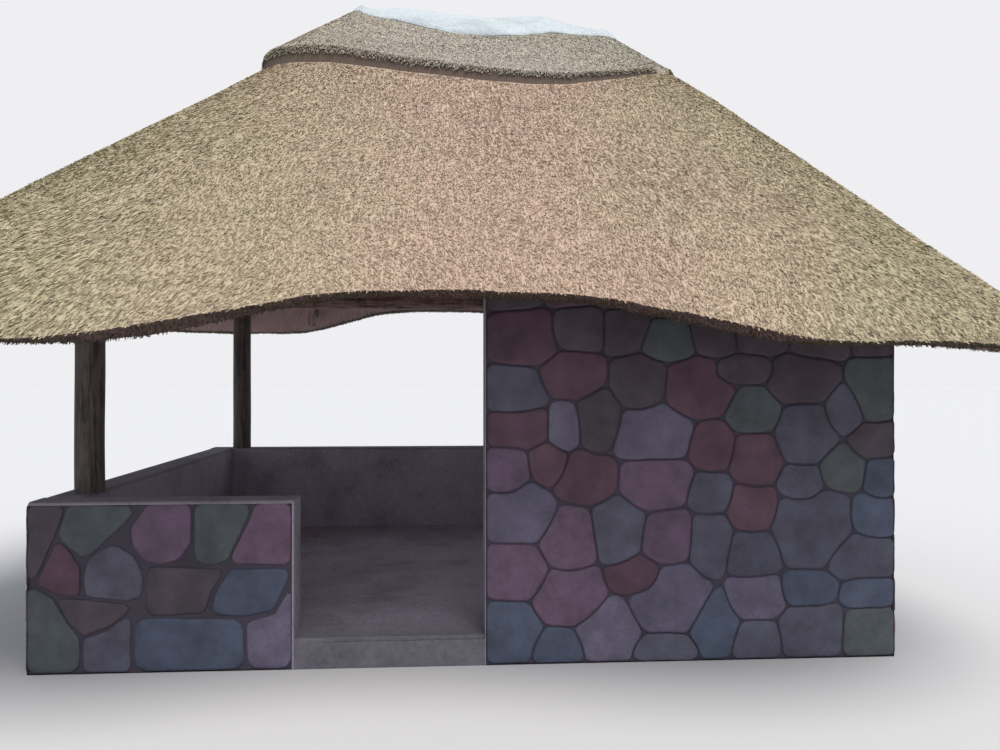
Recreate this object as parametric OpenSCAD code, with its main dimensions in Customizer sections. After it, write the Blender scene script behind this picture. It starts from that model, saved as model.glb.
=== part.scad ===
// Open thatched shelter on low stone-clad walls, with one full-height screen wall beside the entrance.
// Millimetres, +Z up. The origin is on the ground under the centre of the roof's plan.

/* [Walls] */
// Length of the walls over their outer faces, left to right
wall_len = 4700; // [4500:50:5000]
// Depth of the walls over their outer faces, front to back
wall_dep = 3800; // [3600:50:3900]
// Thickness of every wall
wall_t = 220; // [200:10:240]
// Height of the low walls
parapet_h = 900; // [700:50:1100]
// Length of the low wall left of the entrance
front_parapet_len = 1385; // [1200:5:1600]
// Width of the entrance
entrance_w = 1020; // [900:10:1200]
// How far the screen wall's top rakes down to its outer end, where the thatch comes down
screen_drop = 346; // [306:10:526]
// Level length of the screen wall's top, before it rakes down
screen_level = 1100; // [800:50:1200]
// Radius of the rounded plaster edges of the walls
edge_r = 30; // [15:5:50]
// Height of the floor above the ground
floor_h = 160; // [100:10:220]

/* [Posts] */
// Diameter of the gum-pole posts
post_d = 166; // [140:2:180]
// Distance of the front left post from the left face of the walls
front_left_post_x = 152; // [140:1:160]
// Distance of the front left post from the front face of the walls
front_left_post_y = 450; // [420:5:480]
// Distance of the front right post from the right face of the walls
front_right_post_x = 136; // [110:1:150]
// Distance of the front right post from the front face of the walls
front_right_post_y = 900; // [860:10:1000]
// Distance of the back left post from the left face of the walls
back_left_post_x = 278; // [260:1:300]
// Distance of the back right post from the right face of the walls
back_right_post_x = 650; // [600:10:700]
// Distance of both back posts from the back face of the walls
back_post_y = 110; // [90:5:125]

/* [Roof form] */
// Height of the thatch at the ridge, under the ridge layer
ridge_h = 4298; // [4280:2:4320]
// Distance of the ridge's left end from the middle of the walls
ridge_left = 760; // [730:5:790]
// Distance of the ridge's right end from the middle of the walls
ridge_right = 1093; // [1070:1:1110]
// Distance of the ridge behind the middle of the walls
ridge_back = 90; // [70:5:110]
// Pitch of the front and back slopes, in degrees
pitch = 39.35; // [39:0.05:39.6]
// How much steeper the left end slope is than the front
left_steep = 1.01; // [1:0.01:1.05]
// How much steeper the right end slope is than the front
right_steep = 1.465; // [1.44:0.005:1.5]
// Sharpness of the hips: 2 is a round cone, higher is a sharper hip
hip_power = 3.88; // [3.7:0.02:4.1]
// Thickness of the thatch
thatch_t = 200; // [170:5:220]

/* [Eaves] */
// How far the eave over the entrance lies below the ridge
eave_front_below = 2369; // [2343:2:2393]
// How far the eave in the middle of the back lies below the ridge
eave_back_below = 2036; // [2008:2:2098]
// How far the eaves come down beside the raised middle
eave_drop = 227; // [150:1:240]
// How far the eaves rise again in the middle of the two ends
end_lift = 200; // [100:10:250]
// Half the level width of the raised eave
arch_half = 354; // [250:1:400]
// Width over which the eave comes down on each side
arch_run = 1400; // [1200:50:1500]
// Middle of the raised eave, right of the middle of the walls
arch_x = -116; // [-160:1:0]

/* [Roof timbers] */
// Diameter of the rafters
rafter_d = 90; // [80:2:96]
// Diameter of the laths under the thatch
lath_d = 32; // [26:2:36]
// Spacing of the laths down the slope, measured on plan
lath_step = 300; // [250:10:350]
// Diameter of the bent poles of the ring plate
plate_d = 130; // [110:5:140]
// Diameter of the ridge pole
ridge_pole_d = 110; // [100:5:130]
// Distance of the ring plate from the ridge line, measured on plan
plate_run = 1835; // [1825:5:1855]
// Number of rafter bays along the ridge
ridge_bays = 4; // [3:1:5]

/* [Ridge] */
// How far the right end of the ridge is worn and rounded down
right_fall = 88; // [60:4:100]
// How far the ridge sags in the middle
sag = 50; // [20:2:60]
// Reach of the ridge layer at its lowest point, measured on plan
layer_reach = 945; // [900:5:970]
// Reach of the ridge layer at its left end
layer_reach_left = 700; // [650:10:750]
// Reach of the ridge layer at its right end
layer_reach_right = 600; // [550:10:650]
// How far the ridge layer stands above the thatch in the middle
layer_rise = 78; // [70:2:90]
// How far the ridge layer stands above the thatch at its left end
layer_rise_left = 112; // [80:2:120]
// How far the ridge layer stands above the thatch at its right end
layer_rise_right = 26; // [20:2:40]
// Reach of the mortar capping down the slopes where it is widest, measured on plan
cap_reach = 415; // [380:5:430]
// Reach of the mortar capping at its two ends
cap_reach_end = 104; // [95:1:120]
// Thickness of the mortar capping in the middle
cap_rise = 50; // [40:2:60]
// Thickness of the mortar capping at its two ends
cap_rise_end = 24; // [18:2:35]

/* [Hidden] */
$fn = 48;

// Gap left between pieces that rest on each other
seat = 0.3;
// Gap left between the laths and the thatch on them, at the rafters
lath_seat = 0.08;
// Gap left between the ends of two laths over a rafter
lath_gap = 10;
// Plan distance from the ridge at which the thatch slopes start
thatch_start = 60;
// Plan distance of the top lath from the ridge
lath_start = 600;
// Plan distance over which the eave height changes from the front value to the back value
turn_run = 2200;
// Plan distance over which the eaves rise at the two ends
end_run = 2400;
// Gap between a rafter's tail and the level of the eave, and between two rafters' tops over the ridge pole
tail_gap = 10;
top_gap = 2;
// Where the covers close over the ridge, how high the layer is there, and where it starts to round
crown = 20;
crown_rise = 62;
crown_share = 0.8;
crown_round = 70;
// Height of the capping's top over the layer's, at the ridge
cap_crown = 25;
// The capping from its edge up: shares of its reach and of its thickness
cap_curve = [[1, 0.45], [0.85, 0.8], [0.5, 1]];
// How far the cut faces of the layer and of the capping slant
lip_slant = 30;
cap_slant = 8;
// Where the layer comes down lowest, and the run over which it rises again to each side
lip_x = 380;
lip_run = 1500;
// Where the capping is widest, and the run over which it narrows
cap_peak_x = 120;
cap_run = 1100;
// Where the ridge sags most, half the length of the sag and how far down the slope it shows
sag_x = 200;
sag_half = 520;
sag_run = 460;
// Where along the ridge it starts to come down to the right, and how far down the slope that shows
fall_start = 450;
fall_run = 1050;
// Rafter bays between a hip and the ridge end, and columns of the thatch in one of them
fan_bays = 3;
bay_cols = 4;
// Rows of the thatch down its slope
slope_rows = 5;

// Half sizes of the walls, and their centre lines
half_len = wall_len / 2;
half_dep = wall_dep / 2;
slope = tan(pitch);

// Height taken up by one unit square to the front and back slopes
front_n = sqrt(1 + slope * slope);

// Distances below the top of the thatch, square to it
rafter_axis = thatch_t + lath_d + 2 * seat + rafter_d / 2;
plate_axis = thatch_t + lath_d + rafter_d + 3 * seat + plate_d / 2;
ridge_pole_axis = thatch_t + lath_d + rafter_d + 3 * seat + ridge_pole_d / 2;
// The laths cross a hip aslant, so a hip rafter lies lower by this
hip_sink = 8.5;
// Height of the ring plate's axis, which is level all round
plate_z = ridge_h - plate_axis * front_n - slope * plate_run;
post_top = plate_z - plate_d / 2 - seat;

thatch_colour = [0.60, 0.47, 0.27];
timber_colour = [0.30, 0.22, 0.15];
stone_colour = [0.45, 0.36, 0.37];
mortar_colour = [0.72, 0.71, 0.68];

// A smooth step from 0 to 1
function ease(v) = let (t = max(0, min(1, v))) t * t * (3 - 2 * t);

// A line down the roof: start x on the ridge, run in x and y, steepness in x and y, share of a hip
function straight_line(x, side) = [x, 0, side, 0, side, 0];
// A line of the rounded ends: turn 0 runs to the end, 1 and -1 are the hips, 2 and -2 run back and front
function fan_line(turn, x, steepness) =
    let (u = min(1, 2 - abs(turn)), v = min(1, abs(turn)), way = turn < 0 ? -1 : 1,
         k = pow(pow(u, hip_power) + pow(v, hip_power), 1 / hip_power), end = x < 0 ? -1 : 1)
    [x, end * u / k / steepness, way * v / k,
     end * steepness * pow(u / k, hip_power - 1), way * pow(v / k, hip_power - 1), pow(min(u, v), 4)];
function left_fan(turn) = fan_line(turn, -ridge_left, left_steep);
function right_fan(turn) = fan_line(turn, ridge_right, right_steep);
// Height taken up by one unit square to the slope
function steep(line) = norm([1, slope * line[3], slope * line[4]]);
// Level direction straight out from the slope
function outward(line) = [line[3], line[4], 0] / norm([line[3], line[4]]);

// The point at plan distance d down a line, n below the top of the thatch, square to it
function roof_point(line, d, n) =
    [line[0] + line[1] * d, ridge_back + line[2] * d, ridge_h - slope * d - n * steep(line)];
// The same point, with the distance below the thatch measured straight down
function roof_drop(line, d, drop) =
    [line[0] + line[1] * d, ridge_back + line[2] * d, ridge_h - slope * d - drop];

// How far the eave lies below the ridge at a plan point, y measured from the ridge
function eave_depth(x, y) =
    eave_front_below + (eave_back_below - eave_front_below) * ease((y / turn_run + 1) / 2)
    + eave_drop * ease((abs(x - arch_x) - arch_half) / arch_run)
    - end_lift * ease(1 - abs(y) / end_run);
// Plan distance at which a line down the roof meets the eave, closed in on step by step
function eave_reach(line, d = plate_run, turns = 30) = turns == 0 ? d :
    let (depth = eave_depth(line[0] + line[1] * d, line[2] * d))
    eave_reach(line, d + 0.6 * (depth - slope * d) / slope, turns - 1);

// Lines down each side of the roof, from hip to hip
col_step = 1 / fan_bays / bay_cols;
ridge_cols = 2 * ridge_bays;
ridge_run = ridge_left + ridge_right;
function ridge_x(i, count) = -ridge_left + ridge_run * i / count;
fan_cols = fan_bays * bay_cols;
front_lines = concat([for (i = [0 : fan_cols - 1]) left_fan(-1 - i * col_step)],
                     [for (i = [0 : ridge_cols]) straight_line(ridge_x(i, ridge_cols), -1)],
                     [for (i = [fan_cols - 1 : -1 : 0]) right_fan(-1 - i * col_step)]);
right_lines = [for (i = [-fan_cols : fan_cols]) right_fan(i * col_step)];
back_lines = concat([for (i = [0 : fan_cols - 1]) right_fan(1 + i * col_step)],
                    [for (i = [ridge_cols : -1 : 0]) straight_line(ridge_x(i, ridge_cols), 1)],
                    [for (i = [fan_cols - 1 : -1 : 0]) left_fan(1 + i * col_step)]);
left_lines = [for (i = [fan_cols : -1 : -fan_cols]) left_fan(i * col_step)];
all_but_last = function (list) [for (i = [0 : len(list) - 2]) list[i]];
loop_lines = concat(all_but_last(front_lines), all_but_last(right_lines),
                    all_but_last(back_lines), all_but_last(left_lines));

// A value along the ridge: its peak at x, easing to other values at the left and the right
function along(x, left, peak, right, peak_x, run) =
    let (end = x < peak_x ? left : right)
    end + (peak - end) * ease(1 - abs(x - peak_x) / run);
// Where a line lies along the ridge, measured where the layer and where the capping end
function layer_x(line) = line[0] + line[1] * layer_reach;
function cap_x(line) = line[0] + line[1] * cap_reach;
// Lower edge and height of the ridge layer, and the same of the capping
function layer_lip(line) =
    along(layer_x(line), layer_reach_left, layer_reach, layer_reach_right, lip_x, lip_run);
function layer_height(line) =
    along(layer_x(line), layer_rise_left, layer_rise, layer_rise_right, sag_x, lip_run);
function cap_lip(line) = along(cap_x(line), cap_reach_end, cap_reach, cap_reach_end, cap_peak_x, cap_run);
function cap_height(line) = along(cap_x(line), cap_rise_end, cap_rise, cap_rise_end, cap_peak_x, cap_run);
// How far the covers sag with the ridge
function sink(line, d) = sag * ease(1 - abs(line[0] - sag_x) / sag_half) * max(0, 1 - d / sag_run);

// The roof's plan box, whose centre is the origin
eave_points = [for (line = loop_lines) roof_drop(line, eave_reach(line), 0)];
eave_x = [for (p = eave_points) p[0]];
eave_y = [for (p = eave_points) p[1]];
mid_x = (min(eave_x) + max(eave_x)) / 2;
mid_y = (min(eave_y) + max(eave_y)) / 2;

// Moves a piece from the walls' own middle to the part's origin
module placed() translate([-mid_x, -mid_y, 0]) children();

// A round pole between two points
module pole(p, q, d) {
    run = q - p;
    len = norm(run);
    translate(p) rotate([0, acos(run[2] / len), atan2(run[1], run[0])]) cylinder(d = d, h = len);
}

// A solid through a row of sections with equal, even numbers of points. Each end is closed by a ladder of
// triangles between the first half of its section and the second
module lofted(sections) {
    n = len(sections[0]);
    last = len(sections) - 1;
    points = [for (s = sections) each s];
    sides = [for (i = [0 : last - 1]) for (j = [0 : n - 1])
        let (a = i * n + j, b = i * n + (j + 1) % n, c = a + n, d = b + n)
        each [[a, b, d], [a, d, c]]];
    ladder = [for (j = [0 : n / 2 - 2]) each [[j, j + 1, n - 2 - j], [j, n - 2 - j, n - 1 - j]]];
    first_end = [for (t = ladder) [t[2], t[1], t[0]]];
    last_end = [for (t = ladder) [for (k = t) last * n + k]];
    polyhedron(points, concat(first_end, sides, last_end));
}

// One wall along x: a level length with rounded top edges
module wall_run(length, height) {
    rotate([90, 0, 90]) linear_extrude(length) {
        square([wall_t, height - edge_r]);
        translate([edge_r, 0]) square([wall_t - 2 * edge_r, height]);
        for (y = [edge_r, wall_t - edge_r]) translate([y, height - edge_r]) circle(edge_r);
    }
}

module floor_slab() {
    inner_x = half_len - wall_t;
    inner_y = half_dep - wall_t;
    door_x = front_parapet_len - half_len;
    color(mortar_colour) placed() linear_extrude(floor_h)
        polygon([[-inner_x, -inner_y], [door_x, -inner_y], [door_x, -half_dep],
                 [door_x + entrance_w, -half_dep], [door_x + entrance_w, -inner_y],
                 [inner_x, -inner_y], [inner_x, inner_y], [-inner_x, inner_y]]);
}

module front_parapet() {
    color(stone_colour) placed() translate([-half_len, -half_dep, 0])
        wall_run(front_parapet_len, parapet_h);
}

module side_parapet(x) {
    color(stone_colour) placed() translate([x + wall_t, -half_dep + wall_t, 0])
        rotate([0, 0, 90]) wall_run(wall_dep - 2 * wall_t, parapet_h);
}

module left_parapet() side_parapet(-half_len);

module right_parapet() side_parapet(half_len - wall_t);

module back_parapet() {
    color(stone_colour) placed() translate([-half_len, half_dep - wall_t, 0])
        wall_run(wall_len, parapet_h);
}

module screen_wall() {
    length = wall_len - front_parapet_len - entrance_w;
    color(stone_colour) placed() translate([half_len - length, -half_dep + wall_t, 0])
        rotate([90, 0, 0]) linear_extrude(wall_t)
            polygon([[0, 0], [length, 0], [length, post_top - screen_drop],
                     [screen_level, post_top], [0, post_top]]);
}

// The ring plate's axis on a line: it is level, and the rafters rest on it
function plate_point(line) =
    let (d = (ridge_h - (plate_axis + hip_sink * line[5]) * steep(line) - plate_z) / slope)
    [line[0] + line[1] * d, ridge_back + line[2] * d, plate_z];

// A length of the ring plate: a round bent pole with flat ends
module plate_length(lines) {
    last = len(lines) - 1;
    sides = 16;
    sections = [for (i = [0 : last])
        let (out = outward(lines[i]), along = [-out[1], out[0], 0],
             middle = plate_point(lines[i]) + along * seat / 2 * (i == 0 ? 1 : i == last ? -1 : 0))
        [for (k = [0 : sides - 1]) let (a = 360 * (k + 0.5) / sides)
            middle + plate_d / 2 / cos(180 / sides) * (out * cos(a) + [0, 0, 1] * sin(a))]];
    color(timber_colour) placed() lofted(sections);
}

module plate_front() plate_length(front_lines);

module plate_right() plate_length(right_lines);

module plate_back() plate_length(back_lines);

module plate_left() plate_length(left_lines);

module post(x, y) {
    color(timber_colour) placed() translate([x, y, parapet_h + seat])
        cylinder(d = post_d, h = post_top - parapet_h - seat);
}

module post_front_left() post(front_left_post_x - half_len, front_left_post_y - half_dep);

module post_front_right() post(half_len - front_right_post_x, front_right_post_y - half_dep);

module post_back_left() post(back_left_post_x - half_len, half_dep - back_post_y);

module post_back_right() post(half_len - back_right_post_x, half_dep - back_post_y);

module ridge_pole() {
    z = ridge_h - ridge_pole_axis * front_n;
    over = rafter_d / 2;
    color(timber_colour) placed()
        pole([-ridge_left - over, ridge_back, z], [ridge_right + over, ridge_back, z], ridge_pole_d);
}

// Where a rafter's tail ends: its underside is level with the eave there
function tail_reach(line) = eave_reach(line) - (rafter_axis + rafter_d / 2) * steep(line) / slope - tail_gap;

// A rafter down a line, from plan distance d0 to its tail
module rafter(line, d0) {
    depth = rafter_axis + hip_sink * line[5];
    color(timber_colour) placed()
        pole(roof_point(line, d0, depth), roof_point(line, tail_reach(line), depth), rafter_d);
}

// Upper ends: on the ridge pole, at the hips, and between them in the fans
ridge_start = (rafter_d / 2 * slope + seat) * cos(pitch) + top_gap;
hip_start = 230;
fan_start = 560;
end_start = 150;

module ridge_rafters(side) {
    for (i = [0 : ridge_bays]) rafter(straight_line(ridge_x(i, ridge_bays), side), ridge_start);
    for (i = [1 : fan_bays - 1]) {
        rafter(left_fan(side * (1 + i / fan_bays)), fan_start);
        rafter(right_fan(side * (1 + i / fan_bays)), fan_start);
    }
}

module rafters_front() ridge_rafters(-1);

module rafters_back() ridge_rafters(1);

module rafters_left() {
    rafter(left_fan(0), end_start);
    for (i = [1 : fan_bays - 1]) for (side = [-1, 1]) rafter(left_fan(side * i / fan_bays), fan_start);
}

module rafters_right() {
    rafter(right_fan(0), end_start);
    for (i = [1 : fan_bays - 1]) for (side = [-1, 1]) rafter(right_fan(side * i / fan_bays), fan_start);
}

module hip_rafter_front_left() rafter(left_fan(-1), hip_start);

module hip_rafter_front_right() rafter(right_fan(-1), hip_start);

module hip_rafter_back_left() rafter(left_fan(1), hip_start);

module hip_rafter_back_right() rafter(right_fan(1), hip_start);

// One lath between two rafters, with its ends held back from the next lath
module lath(line_a, line_b, d) {
    depth = thatch_t + lath_seat + lath_d / 2;
    p = roof_point(line_a, d, depth);
    q = roof_point(line_b, d, depth);
    back = (q - p) / norm(q - p) * lath_gap / 2;
    pole(p + back, q - back, lath_d);
}

// Laths across one bay, as far down as both rafters reach
module bay_laths(line_a, line_b) {
    reach = min(tail_reach(line_a), tail_reach(line_b)) - lath_d;
    for (d = [lath_start : lath_step : reach]) lath(line_a, line_b, d);
}

module fan_laths(lines) {
    color(timber_colour) placed()
        for (i = [0 : len(lines) - 2]) bay_laths(lines[i], lines[i + 1]);
}

module ridge_laths(side) {
    fan_laths(concat([for (i = [0 : fan_bays - 1]) left_fan(side * (1 + i / fan_bays))],
                     [straight_line(-ridge_left, side), straight_line(ridge_right, side)],
                     [for (i = [fan_bays - 1 : -1 : 0]) right_fan(side * (1 + i / fan_bays))]));
}

module laths_front() ridge_laths(-1);

module laths_back() ridge_laths(1);

module laths_right() fan_laths([for (i = [-fan_bays : fan_bays]) right_fan(i / fan_bays)]);

module laths_left() fan_laths([for (i = [-fan_bays : fan_bays]) left_fan(i / fan_bays)]);

// How much the right end of the ridge and the thatch below it is worn down
function fall(line, d) =
    right_fall * ease((line[0] - fall_start) / (ridge_right - fall_start)) * max(0, 1 - d / fall_run);
// A point of the thatch's outer face, or up above it
function face_point(line, d, up = 0) = roof_drop(line, d, fall(line, d) - up);

// Plan distances of the thatch's rows down a line, as far as end
function rows(line, end) = concat([thatch_start, layer_lip(line) + lip_slant],
                                  [for (i = [0 : slope_rows]) fall_run + (end - fall_run) * i / slope_rows]);

// One side of the thatch: straight down the slope, with its butt ends cut level at the eave
module thatch_side(lines) {
    sections = [for (line = lines)
        let (rim = eave_reach(line), outer = rows(line, rim),
             inner = rows(line, rim - thatch_t * steep(line) / slope), last = len(outer) - 1)
        concat([for (d = outer) face_point(line, d)],
               [for (i = [last : -1 : 0]) roof_point(line, inner[i], thatch_t)])];
    color(thatch_colour) placed() lofted(sections);
}

module thatch_front() thatch_side(front_lines);

module thatch_right() thatch_side(right_lines);

module thatch_back() thatch_side(back_lines);

module thatch_left() thatch_side(left_lines);

// Which of the ridge's own points a line starts from
function ridge_index(line) = round((line[0] + ridge_left) / ridge_run * ridge_cols);

// A closed layer over the ridge, from rings of [plan distance, height above the thatch] for each line.
// Its bands are split the same way whether they run outward or back, so that a layer fits the one on it
module ridge_cover(rings) {
    n = len(loop_lines);
    first = rings(loop_lines[0]);
    last = len(first) - 1;
    ridge_lines = [for (i = [0 : ridge_cols]) straight_line(ridge_x(i, ridge_cols), -1)];
    ring_points = [for (i = [0 : last]) for (line = loop_lines) let (ring = rings(line)[i])
        face_point(line, ring[0], ring[1])];
    ridge_points = [for (i = [0, last]) for (line = ridge_lines) face_point(line, 0, rings(line)[i][1])];
    bands = [for (i = [0 : last - 1]) for (j = [0 : n - 1])
        let (a = i * n + j, b = i * n + (j + 1) % n, c = a + n, d = b + n)
        each first[i + 1][0] > first[i][0] ? [[a, b, d], [a, d, c]] : [[a, b, c], [b, d, c]]];
    // Triangles from ring i to the ridge points that start at index m
    function crest(i, m) = [for (j = [0 : n - 1])
        let (a = i * n + j, b = i * n + (j + 1) % n,
             p = m + ridge_index(loop_lines[j]), q = m + ridge_index(loop_lines[(j + 1) % n]))
        each [[a, b, q], if (p != q) [a, q, p]]];
    under = [for (t = crest(0, len(ring_points))) [t[2], t[1], t[0]]];
    over = crest(last, len(ring_points) + len(ridge_lines));
    placed() polyhedron(concat(ring_points, ridge_points), concat(under, bands, over));
}

// Height of the layer where it closes over the ridge
function crown_height(line) = min(crown_rise, crown_share * layer_height(line)) - sink(line, crown);

module ridge_thatch() {
    color(thatch_colour) ridge_cover(function (line)
        let (rise = layer_height(line), lip = layer_lip(line), foot = cap_lip(line) + cap_slant)
        [[crown, seat], [thatch_start, seat], [lip + lip_slant, seat], [lip, rise],
         [lip / 2, rise - sink(line, lip / 2)], [foot, rise - sink(line, foot)],
         [crown_round, rise - sink(line, crown_round)], [crown, crown_height(line)]]);
}

module ridge_capping() {
    color(mortar_colour) ridge_cover(function (line)
        let (rise = layer_height(line), cap = cap_lip(line), foot = cap + cap_slant, thick = cap_height(line))
        concat([[crown, crown_height(line) + seat], [crown_round, rise - sink(line, crown_round) + seat],
                [foot, rise - sink(line, foot) + seat]],
               [for (p = cap_curve) [cap * p[0], rise - sink(line, cap * p[0]) + thick * p[1]]],
               [[crown, crown_height(line) + cap_crown]]));
}

floor_slab();
front_parapet();
left_parapet();
back_parapet();
right_parapet();
screen_wall();
post_front_left();
post_front_right();
post_back_left();
post_back_right();
plate_front();
plate_right();
plate_back();
plate_left();
ridge_pole();
rafters_front();
rafters_right();
rafters_back();
rafters_left();
hip_rafter_front_left();
hip_rafter_front_right();
hip_rafter_back_left();
hip_rafter_back_right();
laths_front();
laths_right();
laths_back();
laths_left();
thatch_front();
thatch_right();
thatch_back();
thatch_left();
ridge_thatch();
ridge_capping();
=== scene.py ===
"""Dresses the open thatched hut: combed thatch, painted stone walls, gum poles and a mortar ridge."""

import math

import bmesh
import bpy
import numpy as np
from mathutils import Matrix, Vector, noise
from mathutils.bvhtree import BVHTree


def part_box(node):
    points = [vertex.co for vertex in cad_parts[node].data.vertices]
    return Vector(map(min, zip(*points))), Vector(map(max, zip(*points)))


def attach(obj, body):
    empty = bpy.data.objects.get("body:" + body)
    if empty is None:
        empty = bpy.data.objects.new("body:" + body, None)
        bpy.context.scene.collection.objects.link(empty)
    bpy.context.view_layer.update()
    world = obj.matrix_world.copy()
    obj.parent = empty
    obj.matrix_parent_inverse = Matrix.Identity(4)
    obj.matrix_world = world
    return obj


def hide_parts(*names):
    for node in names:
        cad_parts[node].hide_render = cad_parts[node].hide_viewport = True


bl_info = {
    "name": "Thatched hut",
    "version": (1, 0, 0),
    "blender": (4, 5, 0),
    "location": "View3D > Sidebar > Hut",
    "description": "Builds the finish of an open thatched hut around its frame",
    "category": "Object",
}

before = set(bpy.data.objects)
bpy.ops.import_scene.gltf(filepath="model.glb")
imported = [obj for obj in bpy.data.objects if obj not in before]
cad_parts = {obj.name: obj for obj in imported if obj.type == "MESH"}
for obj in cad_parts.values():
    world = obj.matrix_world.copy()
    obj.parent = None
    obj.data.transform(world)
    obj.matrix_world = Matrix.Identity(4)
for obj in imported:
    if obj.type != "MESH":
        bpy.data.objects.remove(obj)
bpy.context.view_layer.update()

SLOPES = ("front", "right", "back", "left")

# Faces by the height of their normal: on a slope, on the ridge layer, under it, and in a level cut
SLOPE_TOP = 0.2
RIDGE_TOP = 0.5
UNDERSIDE = -0.5
LEVEL_CUT = -0.9
# A face looks along a way when its normal agrees with it this far
ALONG = 0.9
# Corners of a CAD mesh that lie nearer than this are one, in metres
WELD = 0.0002
# Vectors shorter than this have no direction
TINY = 1e-9

# Painted shade on the floor: the share of its colour that it keeps going in from the front of the
# entrance, over the reach below in metres; darkest at the front edge and its nosing
PAINTED_SHADE_REACH = 1.0
PAINTED_SHADE_STOPS = (
    (0.0, (0.30, 0.31, 0.31)), (0.12, (0.40, 0.41, 0.42)), (0.45, (0.72, 0.72, 0.74)), (0.9, (1, 1, 1)),
)
# Shades of the cut stems, from the darkest to the palest
STEM_SHADES = ((0.0, 0.6), (0.25, 0.87), (0.75, 1.07), (1.0, 1.46))
# The stems' map: metres for each radian round an end of the ridge, and for each metre of height
TURN_LENGTH = 2.4
SLOPE_LENGTH = 1.58

FRONT_LOW, FRONT_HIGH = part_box("front_parapet")
FLOOR_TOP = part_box("floor_slab")[1].z
RIDGE_LOW, RIDGE_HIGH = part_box("ridge_pole")
RIDGE_Y = (RIDGE_LOW.y + RIDGE_HIGH.y) / 2


def paint(red, green, blue):
    """A colour given as it looks on a screen, 0 to 255, in the linear values that materials use."""
    return tuple(((c / 255 + 0.055) / 1.055) ** 2.4 for c in (red, green, blue))


def colour_property(name, description, default):
    return bpy.props.FloatVectorProperty(
        name=name, description=description, default=default, size=3, min=0, max=1, subtype="COLOR"
    )


def length_property(name, description, default):
    return bpy.props.FloatProperty(
        name=name, description=description, default=default, min=0, subtype="DISTANCE", unit="LENGTH"
    )


def count_property(name, description, default):
    return bpy.props.IntProperty(name=name, description=description, default=default, min=500)


def share_property(name, description, default, least, most):
    return bpy.props.FloatProperty(
        name=name, description=description, default=default, min=least, max=most
    )


def angle_property(name, description, degrees):
    return bpy.props.FloatProperty(
        name=name, description=description, default=math.radians(degrees), subtype="ANGLE"
    )


class HutThatchSettings(bpy.types.PropertyGroup):
    stem_length: length_property("Stem length", "Length of a stem that shows on a slope", 0.038)
    stem_width: length_property("Stem width", "Width of a stem", 0.0048)
    stem_rise: length_property("Stem rise", "How far the cut end of a stem stands off the slope", 0.006)
    stems_each_m2: count_property("Stems", "Stems on each square metre of the front slope", 10200)
    far_share: share_property("Far share", "Share of the stems on the other slopes", 0.5, 0.1, 1)
    fringe_each_m2: count_property("Butt ends", "Stem ends on each square metre of the cut eave", 7000)
    unevenness: length_property("Unevenness", "How far the thatch swells and sinks", 0.012)
    straw: colour_property("Straw", "Colour of most stems", paint(170, 147, 124))
    weathered: colour_property("Weathered straw", "Colour of the greener stems", paint(158, 150, 120))
    shade: colour_property("Shade", "Colour between the stems", paint(168, 146, 128))
    underside: colour_property("Underside", "Colour of the thatch seen from below", paint(166, 138, 136))
    # Butts is painted shade: a dark colour for the eave's downward cut face, which lies in shade
    butts: colour_property("Butts", "Colour between the butt ends of the cut eave", paint(94, 74, 72))
    ridge: colour_property("Ridge straw", "Colour of the stems of the ridge layer", paint(169, 161, 146))


class HutStoneSettings(bpy.types.PropertyGroup):
    joint: length_property("Joint", "Width of the mortar joint between two stones", 0.007)
    relief: length_property("Relief", "How far the stones stand out of the mortar", 0.012)
    border: length_property("Border", "Width of the plaster edge round the stones", 0.010)
    lean: share_property("Lean", "How much a stone's foot bulges into the ones below", 0.38, 0, 0.8)
    maroon: colour_property("Maroon", "Maroon stones", paint(85, 61, 73))
    pink: colour_property("Pink", "Pink stones", paint(97, 77, 95))
    grey: colour_property("Grey", "Grey stones", paint(80, 79, 92))
    lavender: colour_property("Lavender", "Pale lavender-grey stones", paint(95, 89, 106))
    blue: colour_property("Blue", "Blue-grey stones", paint(73, 81, 97))
    green: colour_property("Green", "Green-grey stones", paint(75, 81, 83))
    # Dark is a stone tone where strewn and end stones take it at random, and painted shade on most of the
    # screen wall's upper stones
    dark: colour_property("Dark", "Darkest stones", paint(73, 63, 71))
    mortar: colour_property("Mortar", "Mortar in the joints", paint(62, 57, 66))
    plaster: colour_property("Plaster", "Plaster on the edges and the inner faces", paint(134, 127, 136))


class HutPoleSettings(bpy.types.PropertyGroup):
    wander: length_property("Wander", "How far a post wanders from straight", 0.008)
    bark: colour_property("Bark", "Colour of the gum poles", paint(90, 82, 76))
    split: colour_property("Split", "Colour in the drying cracks", paint(46, 39, 35))
    roof_pole: colour_property("Roof pole", "Colour of the roof timbers", paint(158, 128, 124))


class HutRidgeSettings(bpy.types.PropertyGroup):
    lumps: length_property("Lumps", "How far the ridge mortar swells and sinks", 0.018)
    mortar: colour_property("Mortar", "Colour of the ridge mortar", paint(173, 181, 182))


class HutStageSettings(bpy.types.PropertyGroup):
    eye_height: length_property("Eye height", "Height of the camera above the ground", 1.54)
    distance: length_property("Distance", "Distance of the camera from the front of the walls", 4.68)
    from_door: length_property(
        "Right of the entrance's left side", "How far the camera stands to the right of it", 0.787
    )
    turn: angle_property("Turn", "Turn of the camera to the right", 3.83)
    tilt: angle_property("Tilt", "Tilt of the camera upwards", 0.33)
    lens: bpy.props.FloatProperty(
        name="Lens", description="Focal length in millimetres", default=31.18, min=10
    )
    ground: colour_property("Ground", "Colour of the studio floor", (0.50, 0.495, 0.485))


# Materials


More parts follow.
